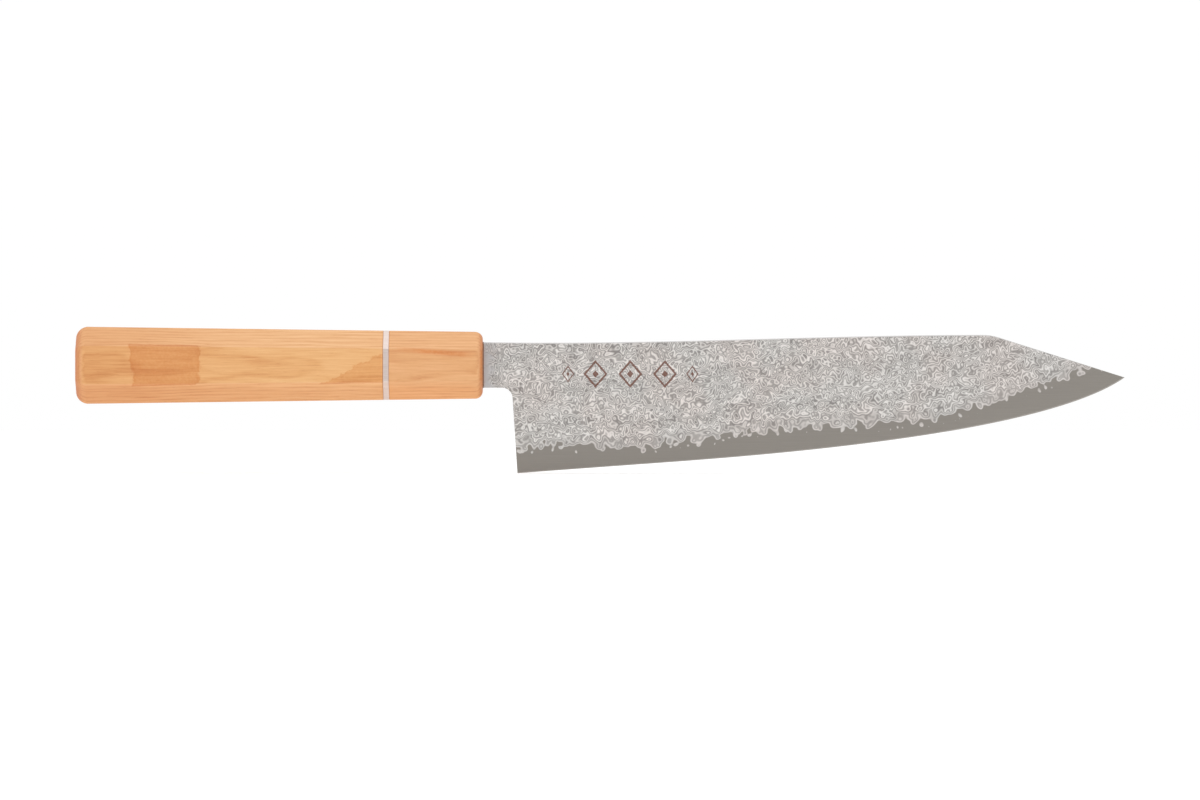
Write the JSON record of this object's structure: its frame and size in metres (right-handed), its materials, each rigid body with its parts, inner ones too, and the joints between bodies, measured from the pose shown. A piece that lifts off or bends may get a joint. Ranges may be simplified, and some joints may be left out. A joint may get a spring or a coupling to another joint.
{
  "type": "chef knife",
  "caption": "Kitchen knife with a tall clipped-point blade of layered steel and an eight-sided tapering wooden handle.",
  "frame": {"origin": "centre of the ferrule's front face, where the neck of the blade leaves the handle, in the blade's mid-plane", "axes": "+X along the handle from the butt to the tip, +Z from the edge towards the spine, +Y to the left of the blade as it is held to cut"},
  "size_m": [0.3629, 0.021, 0.0506],
  "materials": {
    "core_steel": "etched satin grey",
    "layered_steel": "etched satin, layered light and dark",
    "spacer_metal": "satin",
    "handle_wood": "oiled, fine straight grain",
    "ferrule_wood": "oiled, fine straight grain",
    "dowel_wood": "plain turned",
    "resin": "set epoxy"
  },
  "bodies": {
    "root": {"blade_core": "core_steel", "cladding_left": "layered_steel", "cladding_right": "layered_steel", "mouth_seal": "resin", "ferrule": "ferrule_wood", "spacer": "spacer_metal", "handle_body": "handle_wood", "dowel": "dowel_wood", "tang_adhesive": "resin"}
  },
  "joints": []
}
